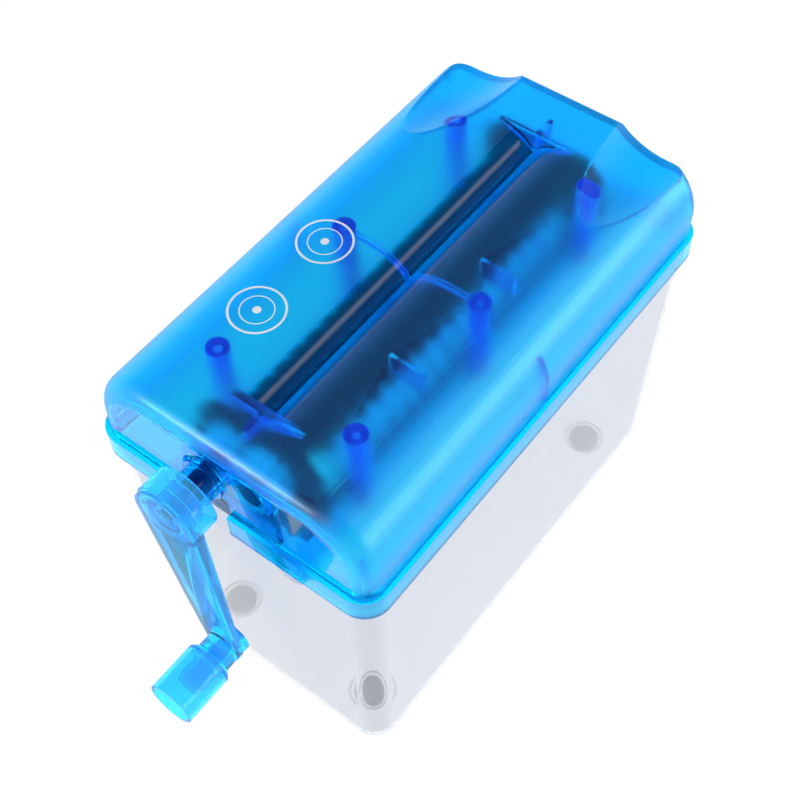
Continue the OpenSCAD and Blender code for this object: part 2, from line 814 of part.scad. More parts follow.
// Angle by which an involute from the base circle has turned when it reaches radius r
function involute_turn(base_r, r) = let (k = sqrt(r * r / (base_r * base_r) - 1)) k * 180 / PI - atan(k);

function tooth_points(i) =
    let (
        step = 360 / gear_teeth,
        tooth = i * step,
        half = step / 4 - backlash / 4 / pitch_r * 180 / PI + involute_turn(base_r, pitch_r),
        radii = [for (k = [0:4]) base_r + (tip_r - base_r) * k / 4]
    )
    concat(
        [polar(root_r, tooth - half)],
        [for (r = radii) polar(r, tooth - half + involute_turn(base_r, r))],
        [for (k = [4:-1:0]) polar(radii[k], tooth + half - involute_turn(base_r, radii[k]))],
        [polar(root_r, tooth + half)]
    );

// A gear with its teeth turned by the given angle from its hex bore
module gear(turn) {
    along_y(-gear_end, -gear_y) difference() {
        rotate(turn) polygon([for (i = [0:gear_teeth - 1]) each tooth_points(i)]);
        hex_hole();
    }
}

module clip(y0) {
    along_y(y0, y0 + clip_t) difference() {
        circle(clip_d / 2);
        circle(journal_d / 2 - groove_depth + fit_gap);
        translate([0, -clip_mouth / 2]) square([clip_d, clip_mouth]);
    }
}

module groove(y0) {
    along_y(y0 - 0.05, y0 + clip_t + 0.05) difference() {
        circle(journal_d);
        circle(journal_d / 2 - groove_depth);
    }
}

module drive_shaft() {
    color("dimgray") placed() at_shaft(-1) difference() {
        union() {
            hex_prism(hex_af, -shaft_nose, -sleeve_end - 0.2);
            along_y(-sleeve_end - 0.2, -upright_y + 0.2) circle(journal_d / 2);
            hex_prism(hex_af, -upright_y + 0.2, -gear_y);
            along_y(-gear_y, -collar_end) circle(journal_d / 2);
            hex_prism(hex_af, -collar_end, collar_end);
            along_y(collar_end, shaft_tail) circle(journal_d / 2);
        }
        groove(clip_y);
    }
}

module drive_cutters() color(black) placed() at_shaft(-1) slices(disc_count, disc_t) disc_outline();

module drive_spacers() color(black) placed() at_shaft(-1) spacer_row(disc_count - 1);

module drive_gear() color(nylon) placed() at_shaft(-1) gear(0);

module drive_clip() color("silver") placed() at_shaft(-1) clip(clip_y);

module driven_shaft() {
    color("dimgray") placed() at_shaft(1) difference() {
        union() {
            along_y(gear_clip_y - shaft_tail_l, -gear_end) circle(journal_d / 2);
            hex_prism(hex_af, -gear_end, -gear_y);
            along_y(-gear_y, -collar_end) circle(journal_d / 2);
            hex_prism(hex_af, -collar_end, collar_end);
            along_y(collar_end, shaft_tail) circle(journal_d / 2);
        }
        groove(clip_y);
        groove(gear_clip_y);
    }
}

module driven_cutters() color(black) placed() at_shaft(1) slices(disc_count - 1, disc_t) disc_outline();

module driven_spacers() color(black) placed() at_shaft(1) spacer_row(disc_count - 2);

// Turned by half a tooth, so that its gaps meet the other gear's teeth
module driven_gear() {
    color(nylon) placed() at_shaft(1) gear(-180 / gear_teeth - mesh_turn);
}

module driven_clips() {
    color("silver") placed() at_shaft(1) {
        clip(clip_y);
        clip(gear_clip_y);
    }
}

// ---------- crank ----------

// The arm's face in its own X and Z, with the hub at the origin and the knob below it
module arm_outline(inset) {
    r1 = arm_d / 2 - inset;
    r2 = arm_end_d / 2 - inset;
    a = asin((r1 - r2) / crank_throw);
    side1 = r1 - tuck;
    side2 = r2 - tuck;
    circle(r1);
    translate([0, -crank_throw]) circle(r2);
    polygon([
        for (s = [-1, 1]) [s * side1 * cos(a), -side1 * sin(a)],
        for (s = [1, -1]) [s * side2 * cos(a), -crank_throw - side2 * sin(a)]
    ]);
}

// The arm: a face plate with a channel behind it that gets shallower towards the knob
module arm_bar() {
    slope = atan((channel_h - channel_tip_h) / crank_throw);
    difference() {
        along_y(-arm_face, arm_back + channel_h) arm_outline(0);
        along_y(arm_back, arm_back + channel_h + 1) arm_outline(crank_wall);
        translate([0, arm_back + channel_h, 0]) rotate([-slope, 0, 0])
            translate([-arm_d, 0, -crank_throw - arm_d]) cube([2 * arm_d, arm_d, crank_throw + arm_d]);
    }
}

module at_crank() {
    at_shaft(-1) rotate([0, -crank_angle, 0]) children();
}

module at_knob() {
    at_crank() translate([0, 0, -crank_throw]) children();
}

module crank_arm() {
    color(clear_blue) placed() difference() {
        union() {
            at_crank() {
                arm_bar();
                along_y(arm_back - eps, -hub_back) difference() {
                    circle(hub_d / 2);
                    circle(hub_d / 2 - crank_wall);
                }
            }
            at_shaft(-1) along_y(arm_back - eps, -hub_back - 1) circle(hub_boss_d / 2);
            at_knob() {
                along_y(-neck_end, -arm_face + eps) circle(neck_d / 2);
                along_y(arm_back - eps, arm_back + end_boss_h) circle(end_boss_d / 2);
            }
        }
        at_shaft(-1) along_y(arm_back, -hub_back) hex_hole();
        at_knob() along_y(-neck_end - 1, arm_back + end_boss_h + 1) circle(pin_d / 2 + fit_gap);
    }
}

module knob_pin() {
    head_y = -knob_back - knob_tube_l - knob_gap;
    color(clear_blue) placed() at_knob() {
        along_y(head_y, arm_back + end_boss_h) circle(pin_d / 2);
        along_y(head_y - pin_head_t, head_y) circle(pin_head_d / 2);
    }
}

module crank_knob() {
    color(clear_blue) placed() at_knob() difference() {
        union() {
            translate([0, -knob_back - knob_chamfer, 0]) rotate([90, 0, 0])
                cylinder(d = knob_d, h = knob_l - knob_chamfer);
            translate([0, -knob_back, 0]) rotate([90, 0, 0])
                cylinder(d1 = knob_d - 2 * knob_chamfer, d2 = knob_d, h = knob_chamfer);
        }
        along_y(-knob_end - 1, -knob_back - knob_floor) difference() {
            circle(knob_d / 2 - knob_wall);
            circle(knob_tube_d / 2);
        }
        along_y(-knob_end - 1, -knob_back - knob_tube_l) circle(knob_tube_d / 2 + eps);
        along_y(-knob_end - 1, -knob_back + 1) circle(pin_d / 2 + run_clear);
    }
}

bin();
foot_pads();
top_cover();
cutter_chassis();
cover_screws();
front_end_plate();
rear_end_plate();
plate_screws();
front_bushes();
rear_bushes();
shaft_sleeve();
left_stripper_comb();
right_stripper_comb();
drive_shaft();
drive_cutters();
drive_spacers();
drive_gear();
drive_clip();
driven_shaft();
driven_cutters();
driven_spacers();
driven_gear();
driven_clips();
crank_arm();
knob_pin();
crank_knob();
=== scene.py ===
# %% [markdown]
# A hand-crank paper shredder for a desk. Its blue head stands on a clear bin, and a crank on the
# front turns two rolls of black cutters under a slot in the head's top. The solids that work were
# drawn before, and are brought in from model.glb as a fixed frame. This file gives each of them its
# finish, and makes again in finer meshes the shells that are seen first.

# %% Load the frame
import math

import bmesh
import bpy
from mathutils import Matrix, Vector
from mathutils.bvhtree import BVHTree
from mathutils.kdtree import KDTree


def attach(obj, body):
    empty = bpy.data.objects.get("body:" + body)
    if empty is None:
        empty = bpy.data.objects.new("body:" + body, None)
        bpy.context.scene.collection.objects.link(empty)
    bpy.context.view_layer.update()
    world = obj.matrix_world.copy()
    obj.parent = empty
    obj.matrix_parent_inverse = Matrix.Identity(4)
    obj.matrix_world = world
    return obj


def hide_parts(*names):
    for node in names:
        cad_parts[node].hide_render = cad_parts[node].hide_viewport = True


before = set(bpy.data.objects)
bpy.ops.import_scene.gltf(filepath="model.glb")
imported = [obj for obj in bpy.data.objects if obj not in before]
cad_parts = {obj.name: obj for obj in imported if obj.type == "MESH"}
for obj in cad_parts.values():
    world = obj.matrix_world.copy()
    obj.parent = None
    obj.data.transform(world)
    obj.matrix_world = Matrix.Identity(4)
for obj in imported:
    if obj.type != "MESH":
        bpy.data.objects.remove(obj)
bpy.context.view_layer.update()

# %% [markdown]
# Sizes are in millimetres from the middle of the head, with the bin's underside at z = 0. The
# frame's own origin lies further forward and lower, because the crank and the foot pads are
# counted in too. One helper turns such a point into the frame's metres.

# %% Points in the head's own millimetres
HEAD_BACK = 19.3  # from the frame's origin back to the head's middle
PAD_RISE = 2.0  # from the table up to the bin's underside


def at(x, y, z):
    """A point given in the head's millimetres, in the frame's metres."""
    return Vector((x, y + HEAD_BACK, z + PAD_RISE)) / 1000


print("the head's middle is at", [round(v, 4) for v in at(0, 0, 0)])

# %% [markdown]
# The camera looks down at the front right corner from above, so the slot's whole length, the
# gears behind the front wall and the open bin are in one view. Its three directions are written
# out because the view is turned a little about its own line of sight too, which no target point
# gives. The lens is long, as for a small thing on a table, and the frame is square.

# %% Camera
EYE = (169.929, -212.658, 450.938)
EYE_RIGHT = Vector((0.79324198, 0.60828911, -0.02741389))
EYE_UP = Vector((-0.48119552, 0.65382095, 0.58392554))
EYE_BACK = Vector((0.37311932, -0.45000281, 0.81134422))

eye = bpy.data.cameras.new("desk_camera")
eye.sensor_fit = "HORIZONTAL"
eye.sensor_width = 36.0
eye.lens = 62.86
eye.clip_start, eye.clip_end = 0.01, 20
camera = bpy.data.objects.new("desk_camera", eye)
bpy.context.scene.collection.objects.link(camera)
turn = Matrix((EYE_RIGHT, EYE_UP, EYE_BACK)).transposed().to_4x4()
camera.matrix_world = Matrix.Translation(at(*EYE)) @ turn
bpy.context.scene.camera = camera
bpy.context.scene.view_settings.view_transform = "Standard"
print("camera", round((camera.location - at(0, 0, 60)).length, 3), "m from the object")

# %% [markdown]
# Every finish here is a tree of nodes. The editor makes such a tree by hand, node by node. In
# code that is long, so a few helpers do it: one adds a node and fills its inputs by name, and the
# others make the joints that come back in each tree. A value that is the same all over goes
# straight into its socket, and only one that changes is linked.

# %% Node helpers
def plug(socket, value):
    """Links a socket to another node's output, or sets it. A colour is given as three numbers."""
    if isinstance(value, bpy.types.NodeSocket):
        socket.id_data.links.new(value, socket)
    else:
        socket.default_value = (*value, 1) if socket.type == "RGBA" else value


def node_maker(tree):
    """Empties a tree and gives a helper that adds a node to it and fills its inputs."""
    tree.nodes.clear()

    def add(kind, **inputs):
        node = tree.nodes.new("ShaderNode" + kind)
        for name, value in inputs.items():
            plug(node.inputs[name.replace("_", " ")], value)
        return node

    return add


def blank_material(name):
    """A material with no nodes in it yet, and the helper that adds them."""
    mat = bpy.data.materials.new(name)
    mat.use_nodes = True
    return mat, node_maker(mat.node_tree)


def maths(add, operation, first, second=0.0):
    """What a Math node makes of one value or two."""
    node = add("Math")
    node.operation = operation
    plug(node.inputs[0], first)
    plug(node.inputs[1], second)
    return node.outputs[0]


def colour_mix(add, share, first, second):
    """The first colour where the share is 0, the second where it is 1."""
    node = add("Mix")
    node.data_type = "RGBA"
    plug(node.inputs[0], share)
    plug(node.inputs["A"], first)
    plug(node.inputs["B"], second)
    return node.outputs["Result"]


def shader_mix(add, share, first, second):
    """The first shader where the share is 0, the second where it is 1."""
    node = add("MixShader")
    for socket, value in zip(node.inputs, (share, first.outputs[0], second.outputs[0])):
        plug(socket, value)
    return node


def colour_ramp(add, value, first, last, *between):
    """Colours that run along a value from stop to stop, each a place and a colour."""
    node = add("ValToRGB", Fac=value)
    stops = node.color_ramp.elements
    for stop, (place, colour) in zip(stops, (first, last)):
        stop.position, stop.color = place, (*colour, 1)
    for place, colour in between:
        stops.new(place).color = (*colour, 1)
    return node.outputs[0]


print("node helpers are ready")

# %% [markdown]
# Clear plastic shows what is behind it and mirrors what is around it, so the room decides half of
# its colour. A room that is white all round makes gloss and frost look like chalk. This one is
# white to the eye, an even grey to the light on the object, and for rays that come off the
# plastic or through it pale near the floor and dark overhead, as a studio is. Light that comes
# through plastic is also a little stronger, for what the many small walls take away.

# %% World
THROUGH = 1.6  # strength of what is seen through plastic, where 1 is white


def seen_through(add, ray):
    """A strength of 1 for most rays, and more for those that have gone through plastic."""
    return add("MapRange", Value=ray["Is Transmission Ray"], To_Min=1.0, To_Max=THROUGH).outputs[0]


world = bpy.data.worlds.new("white_room")
bpy.context.scene.world = world
world.use_nodes = True
add = node_maker(world.node_tree)
ray = add("LightPath").outputs
height = add("SeparateXYZ", Vector=add("TexCoord").outputs["Generated"]).outputs["Z"]
walls = colour_ramp(add, height, (0.03, (0.95, 0.97, 1.0)), (0.56, (0.008, 0.009, 0.011)),
                    (0.28, (0.36, 0.38, 0.41)))
bent = maths(add, "MAXIMUM", ray["Is Glossy Ray"], ray["Is Transmission Ray"])
room = add("Background", Color=colour_mix(add, bent, (0.60, 0.62, 0.65), walls),
           Strength=seen_through(add, ray))
white = add("Background", Color=(1, 1, 1), Strength=1.0)
sky = shader_mix(add, ray["Is Camera Ray"], room, white)
add("OutputWorld", Surface=sky.outputs[0])
print("world: white to the eye, soft to the object and dark overhead in its gloss")

# %% [markdown]
# The floor is a plain pale sheet. Lit like paper alone it would turn grey away from the lamps, and
# as a lamp alone it would keep no shadow. So it is mostly white light where it is looked at,
# mirrored or seen through plastic, with a small share of lit paper that carries the soft shadow.

# %% Floor
FLOOR_GLOW = 0.93
bm = bmesh.new()
bmesh.ops.create_grid(bm, x_segments=1, y_segments=1, size=3.0)
mesh = bpy.data.meshes.new("desk_floor")
bm.to_mesh(mesh)
bm.free()
floor = bpy.data.objects.new("desk_floor", mesh)
bpy.context.scene.collection.objects.link(floor)
mat, add = blank_material("white_floor")
ray = add("LightPath").outputs
looked_at = maths(add, "MAXIMUM", ray["Is Camera Ray"], ray["Is Glossy Ray"])
looked_at = maths(add, "MAXIMUM", looked_at, ray["Is Transmission Ray"])
paper = add("BsdfDiffuse", Color=(0.9, 0.9, 0.9))
glow = add("Emission", Color=(1, 1, 1), Strength=seen_through(add, ray))
sheet = shader_mix(add, maths(add, "MULTIPLY", looked_at, FLOOR_GLOW), paper, glow)
add("OutputMaterial", Surface=sheet.outputs[0])
mesh.materials.append(mat)
print("floor at z = 0")

# %% [markdown]
# Gloss needs something to mirror, and its place decides where the gleams fall. One soft lamp lights
# the object and is mirrored nowhere. A wide one on the right draws the broad pale band along the
# right shoulder, one in front draws the band over the front wall, and a narrow one overhead draws
# the thin gleam along the left lip of the slot.

# %% Lamps
def softbox(name, place, target, width, height, power, tint=(1, 1, 1), mirrored=True):
    """An area lamp that faces a point, and is seen in gloss and clear plastic or isn't."""
    lamp = bpy.data.lights.new(name, "AREA")
    lamp.shape = "RECTANGLE"
    lamp.size, lamp.size_y = width, height
    lamp.energy = power
    lamp.color = tint
    holder = bpy.data.objects.new(name, lamp)
    bpy.context.scene.collection.objects.link(holder)
    holder.location = place
    holder.visible_glossy = holder.visible_transmission = mirrored
    holder.rotation_euler = (Vector(target) - Vector(place)).to_track_quat("-Z", "Y").to_euler()
    print(name, power, "W")


softbox("right_lamp", (0.9, 0.5, 0.9), (0, 0.02, 0.1), 0.8, 0.8, 7, mirrored=False)
softbox("side_lamp", (1.15, 0.62, 0.36), (0, 0.02, 0.12), 1.2, 0.42, 9)
softbox("front_lamp", (-0.47, -0.90, 0.86), (0, 0, 0.1), 0.7, 0.34, 14)
softbox("edge_strip", (0.845, 0.80, 1.14), (0.845, 0.80, 0), 0.27, 1.1, 2.4, (1, 0.93, 0.88))

# %% [markdown]
# A look through the head crosses the cover, ribs, bosses, the tray and the bin, two surfaces each.
# A path that is cut short turns black, so light may take many steps here.

# %% Light paths
paths = bpy.context.scene.cycles
paths.max_bounces = paths.transmission_bounces = paths.glossy_bounces = 28
paths.transparent_max_bounces = 16
print("light may pass", paths.transmission_bounces, "clear surfaces")

# %% [markdown]
# The head, crank and sleeve are one kind of plastic, a clear blue. Light that goes through it
# keeps blue, some green and no red, and loses more the longer the way is, so edges and ribs come
# out deeper than walls. The surface tints each crossing a little and the inside absorbs the rest.
# The cover's upper skin is finely frosted, and everything else is polished. A wall's inside
# belongs to one finish, so a piece that is frosted on one side only keeps one finish all over, and
# says with its attribute "frost" where the rougher skin is. Its attribute "milky" says in the
# same way where the plastic is cloudier.

# %% Parts of the clear plastics
EDGE_BELOW, EDGE_ABOVE = 0.003, 0.001  # how far a dyed band fades out on either side of its edge
STEP_SOFT = 0.0002  # and how far it fades in at its height
MILKY_SHARE = 0.6  # share of cloudy plastic where a face is fully milky


def face_value(add, name):
    """A number that a mesh carries on its faces."""
    node = add("Attribute")
    node.attribute_name = name
    return node.outputs["Fac"]


def dyed(add, place, tint, colour, half_width, height):
    """The tint, but another colour in a band along the middle and above a height."""
    parts = add("SeparateXYZ", Vector=place).outputs
    inner = add("MapRange", Value=maths(add, "ABSOLUTE", parts["X"]), To_Min=1.0, To_Max=0.0,
                From_Min=half_width - EDGE_BELOW, From_Max=half_width + EDGE_ABOVE)
    raised = add("MapRange", Value=parts["Z"], From_Min=height, From_Max=height + STEP_SOFT)
    share = maths(add, "MAXIMUM", inner.outputs[0], raised.outputs[0])
    return colour_mix(add, share, tint, colour)


def clouded(add, skin, colour, share, dense=None):
    """A clear skin with a share of cloudy plastic in it, and of a denser one on milky faces."""
    if dense is not None:
        milky = face_value(add, "milky")
        colour = colour_mix(add, milky, colour, dense)
        share = add("MapRange", Value=milky, To_Min=share, To_Max=MILKY_SHARE).outputs[0]
    return shader_mix(add, share, skin, add("BsdfDiffuse", Color=colour))


def uneven(add, cloud, roughness, spare=0.0):
    """A roughness that wanders a fifth up and down with a noise."""
    return add("MapRange", Value=cloud, From_Min=0.3, From_Max=0.7,
               To_Min=roughness * 0.8, To_Max=roughness * 1.2 + spare).outputs[0]


print("a fully milky face is", MILKY_SHARE, "cloudy")


# %% Clear plastics
def clear_plastic(name, tint, shade, absorb, density, roughness=0.03, wave=0.02, bend=1.45,
                  frost=None, haze=None, band=None):
    """Plastic that is seen through.

    The tint is the surface's own. The shade is what a lamp's light keeps on its way to what is
    behind, and absorb and density are for the way through the inside."""
    mat, add = blank_material(name)
    place = add("TexCoord").outputs["Object"]
    cloud = add("TexNoise", Vector=place, Scale=40.0, Detail=3.0).outputs[0]
    rough = uneven(add, cloud, roughness, 0.004)
    if frost:
        rough = add("Mix", Factor=face_value(add, "frost"), A=rough, B=frost).outputs[0]
    ripple = add("TexNoise", Vector=place, Scale=55.0, Detail=1.0).outputs[0]
    bump = add("Bump", Strength=wave, Distance=0.001, Height=ripple).outputs[0]
    skin = add("BsdfPrincipled", Base_Color=dyed(add, place, tint, *band) if band else tint,
               Roughness=rough, IOR=bend, Transmission_Weight=1.0, Normal=bump)
    if haze:
        skin = clouded(add, skin, *haze)
    lets_by = add("BsdfTransparent", Color=shade)
    whole = shader_mix(add, add("LightPath").outputs["Is Shadow Ray"], skin, lets_by)
    inside = add("VolumeAbsorption", Color=absorb, Density=density)
    add("OutputMaterial", Surface=whole.outputs[0], Volume=inside.outputs[0])
    print("clear plastic:", name)
    return mat


BLUE = dict(tint=(0.008, 0.65, 0.998), shade=(0.2, 0.78, 0.99), absorb=(0.0, 0.984, 0.999),
            density=600, wave=0.05)
BLUE_HAZE = ((0.004, 0.14, 0.85), 0.02)
MILKY_BLUE = (0.035, 0.20, 0.58)
TRAY_BAND = ((0.01, 0.62, 1.0), 0.029, at(0, 0, 109.7).z)
blue_frosted = clear_plastic("blue_frosted", frost=0.36, haze=(*BLUE_HAZE, MILKY_BLUE), **BLUE)
blue_clear = clear_plastic("blue_clear", haze=BLUE_HAZE, **BLUE)
blue_crank = clear_plastic("blue_crank", (0.09, 0.66, 0.97), (0.3, 0.78, 0.99),
                           (0.15, 0.93, 0.995), 300, wave=0.03, bend=1.25,
                           haze=((0.2, 0.72, 0.98), 0.13))
tray_clear = clear_plastic("tray_clear", (0.95, 0.96, 0.97), (0.96, 0.965, 0.975),
                           (0.6, 0.8, 0.9), 12, roughness=0.14, band=TRAY_BAND)
bin_clear = clear_plastic("bin_clear", (0.62, 0.63, 0.655), (0.93, 0.935, 0.945),
                          (0.66, 0.74, 0.84), 40, haze=((0.90, 0.91, 0.93), 0.04))

# %% [markdown]
# Everything else is opaque: blackened cutters and end plates, ground and plated steel, moulded
# nylon, sintered bronze, rubber and silver ink. A single flat colour would look like paint, so
# each finish has two close shades in soft patches, a roughness that wanders with them and a fine
# grain. Only the numbers differ.

# %% Solid finishes
def solid_finish(name, colour, second, roughness, metal=0.0, grain=0.1, gloss=0.5):
    """An opaque finish with two close shades in patches and a fine grain."""
    mat, add = blank_material(name)
    place = add("TexCoord").outputs["Object"]
    cloud = add("TexNoise", Vector=place, Scale=60.0, Detail=4.0).outputs[0]
    speck = add("TexNoise", Vector=place, Scale=600.0, Detail=3.0).outputs[0]
    bump = add("Bump", Strength=grain, Distance=0.0001, Height=speck).outputs[0]
    skin = add("BsdfPrincipled", Metallic=metal, Specular_IOR_Level=gloss, Normal=bump,
               Base_Color=colour_ramp(add, cloud, (0.35, colour), (0.65, second)),
               Roughness=uneven(add, cloud, roughness))
    add("OutputMaterial", Surface=skin.outputs[0])
    print("solid finish:", name)
    return mat


cutter_black = solid_finish("cutter_black", (0.006, 0.006, 0.007), (0.012, 0.012, 0.014), 0.3,
                            gloss=0.3)
plate_black = solid_finish("plate_black", (0.007, 0.008, 0.010), (0.014, 0.015, 0.018), 0.5,
                           gloss=0.25)
shaft_steel = solid_finish("shaft_steel", (0.09, 0.09, 0.10), (0.14, 0.14, 0.15), 0.35, 1.0, 0.05)
screw_steel = solid_finish("screw_steel", (0.6, 0.6, 0.58), (0.66, 0.65, 0.62), 0.28, 1.0, 0.05)
gear_nylon = solid_finish("gear_nylon", (0.82, 0.86, 0.83), (0.88, 0.9, 0.87), 0.45)
bush_bronze = solid_finish("bush_bronze", (0.55, 0.38, 0.2), (0.62, 0.44, 0.25), 0.4, 1.0)
pad_rubber = solid_finish("pad_rubber", (0.10, 0.09, 0.085), (0.16, 0.145, 0.135), 0.7, grain=0.3)
mark_silver = solid_finish("mark_silver", (0.62, 0.66, 0.70), (0.72, 0.75, 0.78), 0.4, 0.3, 0.03)

# %% [markdown]
# Most solids are right as they are, such as the cutters and the gears, and are seen only through
# the blue cover. They keep their meshes and get a finish.

# %% Finishes on the frame's own solids
FINISH = {
    "top_cover": blue_frosted, "cutter_chassis": tray_clear, "shaft_sleeve": blue_clear,
    "crank_arm": blue_crank, "knob_pin": blue_crank, "crank_knob": blue_crank,
    "bin": bin_clear, "foot_pads": pad_rubber,
    "front_end_plate": plate_black, "rear_end_plate": plate_black,
    "left_stripper_comb": tray_clear, "right_stripper_comb": tray_clear,
    "drive_cutters": cutter_black, "driven_cutters": cutter_black,
    "drive_spacers": cutter_black, "driven_spacers": cutter_black,
    "drive_shaft": shaft_steel, "driven_shaft": shaft_steel,
    "drive_clip": screw_steel, "driven_clips": screw_steel,
    "cover_screws": screw_steel, "plate_screws": screw_steel,
    "drive_gear": gear_nylon, "driven_gear": gear_nylon,
    "front_bushes": bush_bronze, "rear_bushes": bush_bronze,
}
for name, mat in FINISH.items():
    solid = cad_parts[name]
    solid.data.materials.clear()
    solid.data.materials.append(mat)
print(len(FINISH), "solids finished")

# %% [markdown]
# Pieces that are made again start as a bmesh. One helper turns a finished bmesh into an object
# that rides on its body and stands for the plain solid. It shades round faces smooth and keeps
# edges crisp. Flat walls have to look flat through clear plastic, where every slip of a normal
# bends what is seen behind it. So a new mesh has its normals weighted by face size, and a copy of
# a solid takes the normals of the solid's own curved faces. The exception is the cover's fillet
# over the front wall: the solid has it as flat strips, so the copy keeps its own smooth normals.

# %% From a bmesh to a piece
CRISP = 32  # degrees between faces from which an edge stays crisp
SAME_SPOT = 3e-6  # metres within which two corners are one
SAME_WAY = 0.98  # how alike the normals of two faces have to be for them to be one


def surface_normals(mesh, node):
    """For each corner of a copied solid's mesh, the normal that the solid's face has there."""
    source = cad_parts[node].data
    tree = KDTree(len(source.loops))
    corners = []
    for face in source.polygons:
        for index in face.loop_indices:
            place = source.vertices[source.loops[index].vertex_index].co
            tree.insert(place, len(corners))
            corners.append((face.normal, source.corner_normals[index].vector))
    tree.balance()
    found = []
    for face in mesh.polygons:
        front_fillet = -0.99 < face.normal.y < -0.05
        for index in face.loop_indices:
            place = mesh.vertices[mesh.loops[index].vertex_index].co
            near = [corners[i] for _, i, _ in tree.find_range(place, SAME_SPOT)]
            best = max(near, key=lambda pair: pair[0].dot(face.normal), default=None)
            fits = best and best[0].dot(face.normal) > SAME_WAY and not front_fillet
            found.append(Vector(best[1] if fits else mesh.corner_normals[index].vector))
    return found


def piece_from(bm, name, body, solids, mat, curved=None):
    """An object from a finished bmesh, in the frame's metres, that stands for the named solids."""
    mesh = bpy.data.meshes.new(name)
    bm.to_mesh(mesh)
    count = len(bm.faces)
    loose = sum(1 for edge in bm.edges if not edge.is_manifold)
    bm.free()
    mesh.materials.append(mat)
    mesh.shade_smooth()
    mesh.set_sharp_from_angle(angle=math.radians(CRISP))
    piece = bpy.data.objects.new(name, mesh)
    bpy.context.scene.collection.objects.link(piece)
    if curved:
        mesh.normals_split_custom_set(surface_normals(mesh, curved))
    else:
        even = piece.modifiers.new("even_normals", "WEIGHTED_NORMAL")
        even.keep_sharp = True
    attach(piece, body)
    if solids:
        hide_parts(*solids)
    print(f"{name}: {count} faces, {loose} open edges")


def merged_copy(node):
    """A bmesh copy of a solid with its loose triangles joined up and its flat faces made whole."""
    bm = bmesh.new()
    bm.from_mesh(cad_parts[node].data)
    bmesh.ops.remove_doubles(bm, verts=bm.verts, dist=1e-6)
    bmesh.ops.dissolve_limit(bm, angle_limit=math.radians(0.4), verts=bm.verts, edges=bm.edges)
    return bm


def rounded(bm, edges, width, segments):
    """Rounds edges of a bmesh by a width in millimetres."""
    bmesh.ops.bevel(bm, geom=edges, offset=width / 1000, offset_type="OFFSET", affect="EDGES",
                    segments=segments, profile=0.5, material=-1, clamp_overlap=True)


def soften(bm, width, angle, segments):
    """Rounds every edge that is sharper than an angle, as a mould's edges are never knife sharp."""
    bm.normal_update()
    sharp = [edge for edge in bm.edges
             if edge.is_manifold and edge.calc_face_angle() > math.radians(angle)]
    rounded(bm, sharp, width, segments)
    print(len(sharp), "edges softened")


def spun(profile, middle, along, steps, into=None):
    """A closed ring turned from a profile of (radius, distance along the axis), in millimetres."""
    bm = into or bmesh.new()
    axis = Vector(along).normalized()
    side = axis.orthogonal().normalized()
    verts = [bm.verts.new(middle + axis * (h / 1000) + side * (r / 1000)) for r, h in profile]
    pairs = [(i, (i + 1) % len(verts)) for i in range(len(verts))]
    edges = [bm.edges.new((verts[i], verts[j])) for i, j in pairs
             if profile[i][0] or profile[j][0]]
    bmesh.ops.spin(bm, geom=verts + edges, cent=middle, axis=axis, angle=2 * math.pi,
                   steps=steps, use_merge=True, use_duplicate=False)
    return bm


def closed(bm, spot=1e-7):
    """Joins doubled corners, so that seams and poles close, and turns all faces outwards."""
    bmesh.ops.remove_doubles(bm, verts=bm.verts, dist=spot)
    bmesh.ops.recalc_face_normals(bm, faces=bm.faces)


print("piece helpers are ready")

# %% [markdown]
# The cover is one moulding with a slot between two rolled lips, six screw bosses, ribs and two
# thumb scoops. It could be lofted again from nothing, but its shape is already right, so the
# piece starts from a joined-up copy of the solid. What it gains is its finish. The outer skin of
# the top and the shoulders is frosted, the lips a little less, and the end walls, the skirt and
# everything inside are polished. Ribs, bosses and the walls that close the slot's ends are
# milkier. A ray that leaves a face and meets nothing tells which faces are outside.

# %% Cover
LEDGE, TOP = at(0, 0, 114.6).z, at(0, 0, 142.99).z  # over the skirt, and just under the flat top
LIP_HALF, LIP_EDGE, LIP_LONG = 14.2 / 1000, 0.0075, 0.0655  # the lips from the slot's middle
SHORT = 0.0045  # half the length of a face that belongs to a rib or a boss
BOSS_X, BOSS_YS, BOSS_R = 25, (-57, 0, 57), 4.3


def is_rib(x, y):
    """The cross ribs, between the middle bosses and in the shoulders."""
    return abs(y) < 1.2 and (abs(x) < 26.5 or abs(x) > 40)


def is_boss(x, y):
    """The six screw bosses."""
    return min(math.hypot(abs(x) - BOSS_X, y - middle) for middle in BOSS_YS) < BOSS_R


def is_slot_end(x, y):
    """The walls that close the slot's ends, and the short keels behind them."""
    return 64.9 < abs(y) < 67.2 and abs(x) < 15 or 67 < abs(y) < 75 and abs(x) < 1.2


bm = merged_copy("top_cover")
bm.normal_update()
tree = BVHTree.FromBMesh(bm)
frost = bm.faces.layers.float.new("frost")
milky = bm.faces.layers.float.new("milky")
for face in bm.faces:
    centre, normal = face.calc_center_median(), face.normal
    outside = tree.ray_cast(centre + normal * 1e-4, normal)[0] is None
    x, y = centre.x * 1000, centre.y * 1000 - HEAD_BACK
    short = max(abs(v.co.y - centre.y) for v in face.verts) < SHORT
    if not outside and short and centre.z < TOP:
        face[milky] = 1.0 if is_rib(x, y) else 0.35 if is_boss(x, y) or is_slot_end(x, y) else 0.0
    elif outside and centre.z < LEDGE and normal.z > 0.3:
        face[milky] = 0.3
    in_slot = abs(centre.x) < LIP_HALF and abs(centre.y - at(0, 0, 0).y) < LIP_LONG
    if in_slot and centre.z < TOP:
        face[frost] = 1.0 if normal.z < -0.1 or abs(centre.x) > LIP_EDGE else 0.25
    elif outside and normal.z > -0.2 and centre.z > LEDGE and normal.y > -0.97:
        face[frost] = 1.0
